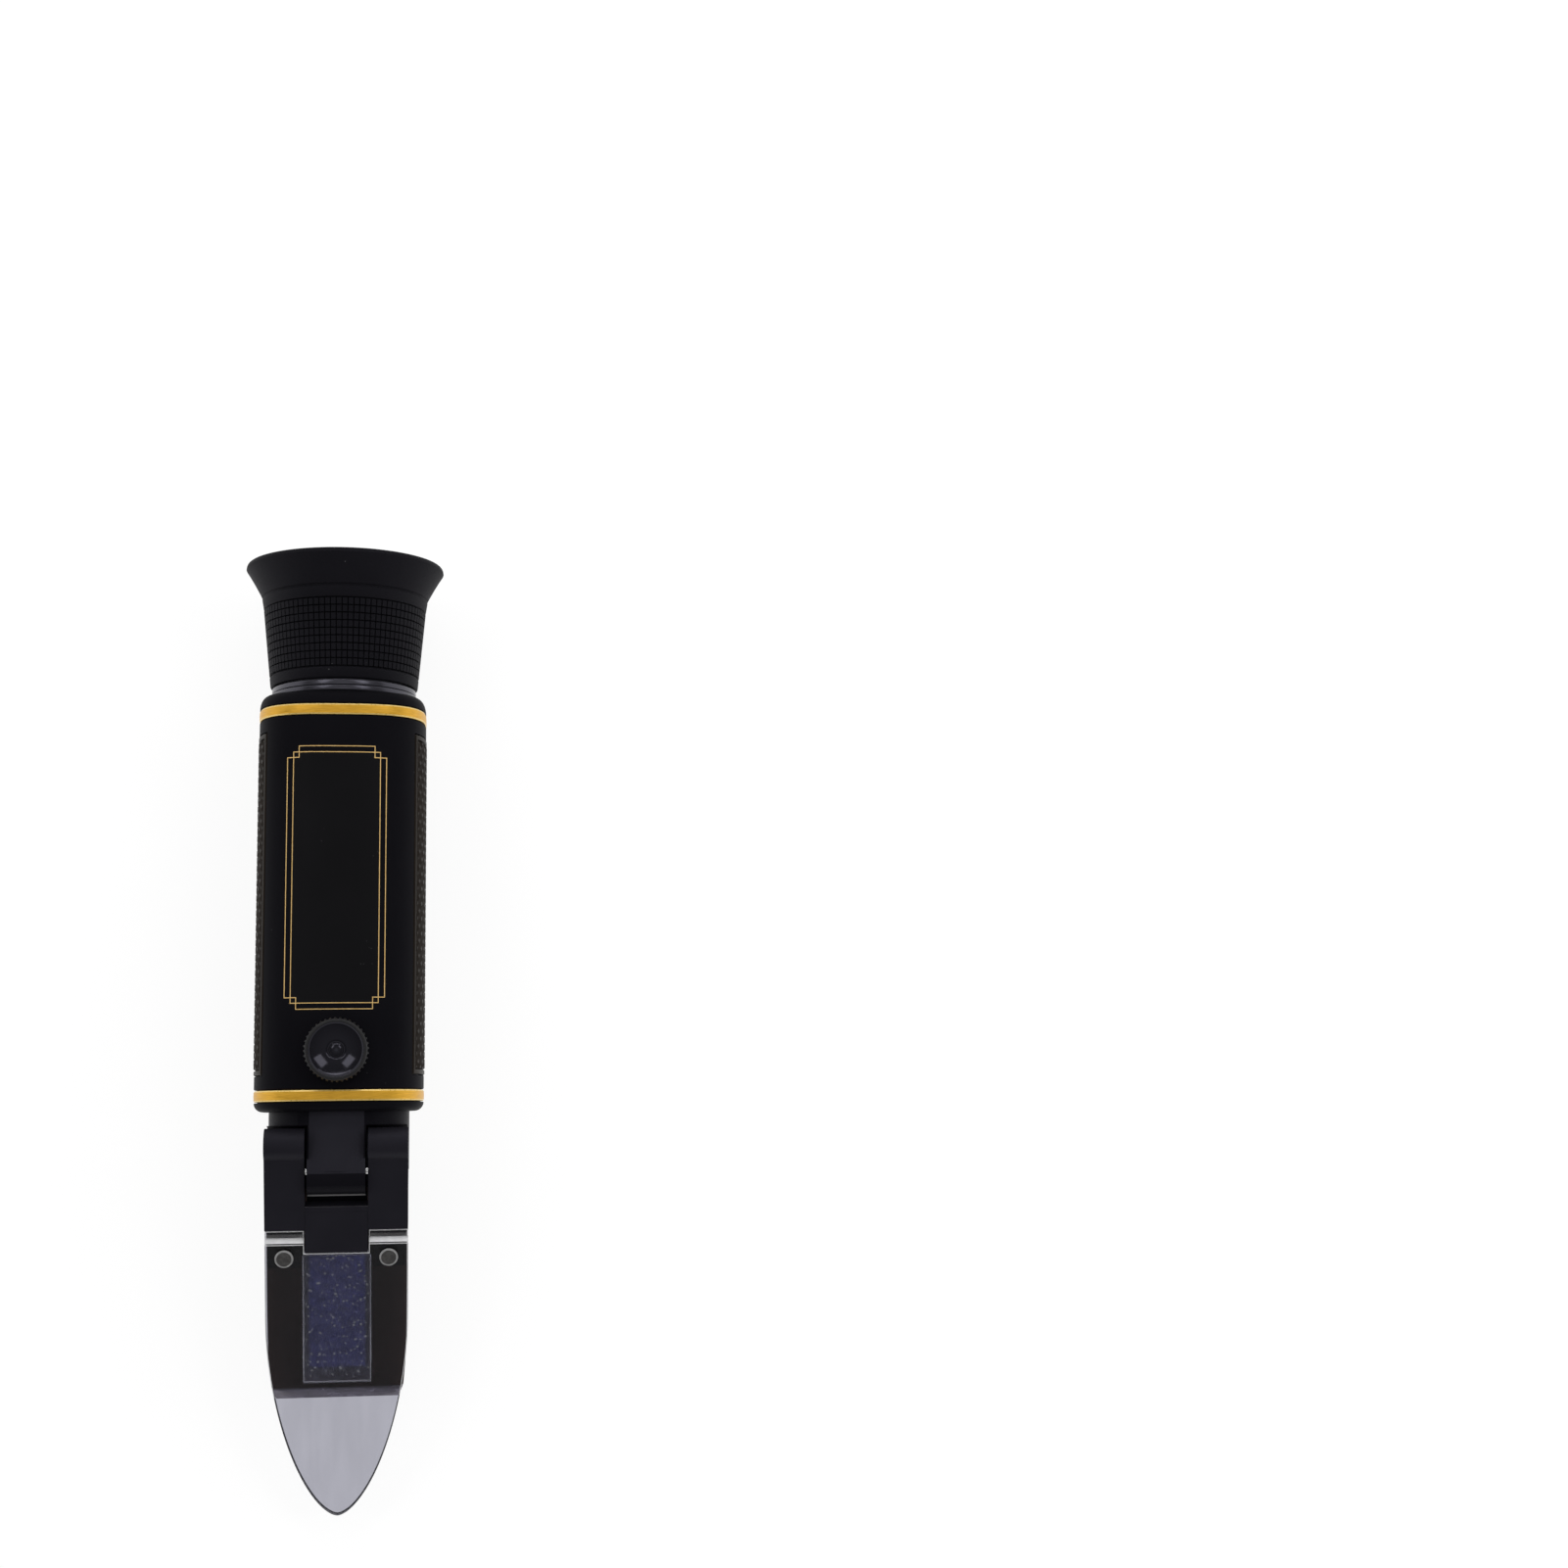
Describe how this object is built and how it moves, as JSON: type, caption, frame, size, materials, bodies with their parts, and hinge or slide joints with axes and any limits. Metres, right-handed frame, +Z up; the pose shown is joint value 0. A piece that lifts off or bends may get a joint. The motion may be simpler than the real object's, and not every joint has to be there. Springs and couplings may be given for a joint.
{
  "type": "handheld brix refractometer",
  "caption": "Handheld refractometer: hinged clear daylight plate over a prism, gripped barrel with calibration knob, turning rubber eyecup.",
  "frame": {"origin": "middle of the barrel's flat belly", "axes": "+Y along the optical axis towards the eyepiece, +Z up through the calibration knob, +X to the right seen from above with the eyepiece at the top"},
  "size_m": [0.0364, 0.1741, 0.0367],
  "materials": {
    "black_paint": "satin black paint",
    "head_paint": "satin black paint on turned metal",
    "grip_rubber": "moulded rubber with a lozenge relief",
    "cup_rubber": "soft matt rubber",
    "gold_trim": "polished gold",
    "gloss_black": "glossy black",
    "bracket_black": "satin black",
    "clear_plastic": "clear, frosted under the window",
    "optical_glass": "polished optical glass",
    "steel": "polished steel",
    "rivet_grey": "grey translucent plastic",
    "brass": "turned brass",
    "aluminium": "turned aluminium",
    "seal_rubber": "matt black rubber"
  },
  "bodies": {
    "barrel": {"barrel_shell": "black_paint", "left_grip_pad": "grip_rubber", "right_grip_pad": "grip_rubber", "front_gold_band": "gold_trim", "rear_gold_band": "gold_trim", "prism_housing": "head_paint", "hinge_pin": "steel", "measuring_prism": "optical_glass", "prism_seal": "seal_rubber", "prism_bed_pad": "seal_rubber", "light_stop": "black_paint", "head_lock_ring": "aluminium", "knob_bushing": "brass", "objective_guide": "aluminium", "calibration_spring": "steel", "reticle_cell": "black_paint", "reticle_disc": "optical_glass", "reticle_retaining_ring": "black_paint", "focus_tube": "aluminium"},
    "daylight_cover": {"hinge_bracket": "bracket_black", "daylight_plate": "clear_plastic", "left_plate_rivet": "rivet_grey", "right_plate_rivet": "rivet_grey"},
    "knob": {"calibration_knob": "gloss_black", "knob_screw": "gloss_black", "knob_stem": "brass"},
    "objective": {"objective_cell": "aluminium", "objective_crown_lens": "optical_glass", "objective_flint_lens": "optical_glass", "objective_retaining_ring": "black_paint"},
    "eyepiece": {"eye_lens_cell": "black_paint", "guide_pin": "steel", "eye_lens": "optical_glass", "field_lens": "optical_glass", "lens_spacer": "black_paint", "eye_lens_retaining_ring": "black_paint", "cell_end_ring": "black_paint"},
    "focus_ring": {"focus_sleeve": "gloss_black", "rubber_eyecup": "cup_rubber"}
  },
  "joints": [
    {"name": "cover_hinge", "type": "hinge", "parent": "barrel", "child": "daylight_cover", "pos_m": [0, -0.04815, 0.024], "axis": [-1, 0, 0], "range_deg": [0, 100]},
    {"name": "knob_turn", "type": "hinge", "parent": "barrel", "child": "knob", "pos_m": [0, -0.02695, 0.03], "axis": [0, 0, 1], "range_deg": [-181, 181]},
    {"name": "lens_shift", "type": "slide", "parent": "barrel", "child": "objective", "axis": [0, 0, 1], "range_m": [-0.00025, 0.00025], "deforming": ["calibration_spring"]},
    {"name": "focus_slide", "type": "slide", "parent": "barrel", "child": "eyepiece", "axis": [0, 1, 0], "range_m": [0, 0.005]},
    {"name": "focus_turn", "type": "hinge", "parent": "eyepiece", "child": "focus_ring", "pos_m": [0, 0.05, 0.015], "axis": [0, 1, 0], "range_deg": [0, 301]}
  ],
  "couplings": [
    {"joint": "knob_turn", "follows": "lens_shift", "rad_per_m": 12566},
    {"joint": "focus_turn", "follows": "focus_slide", "rad_per_m": 1047.2}
  ]
}
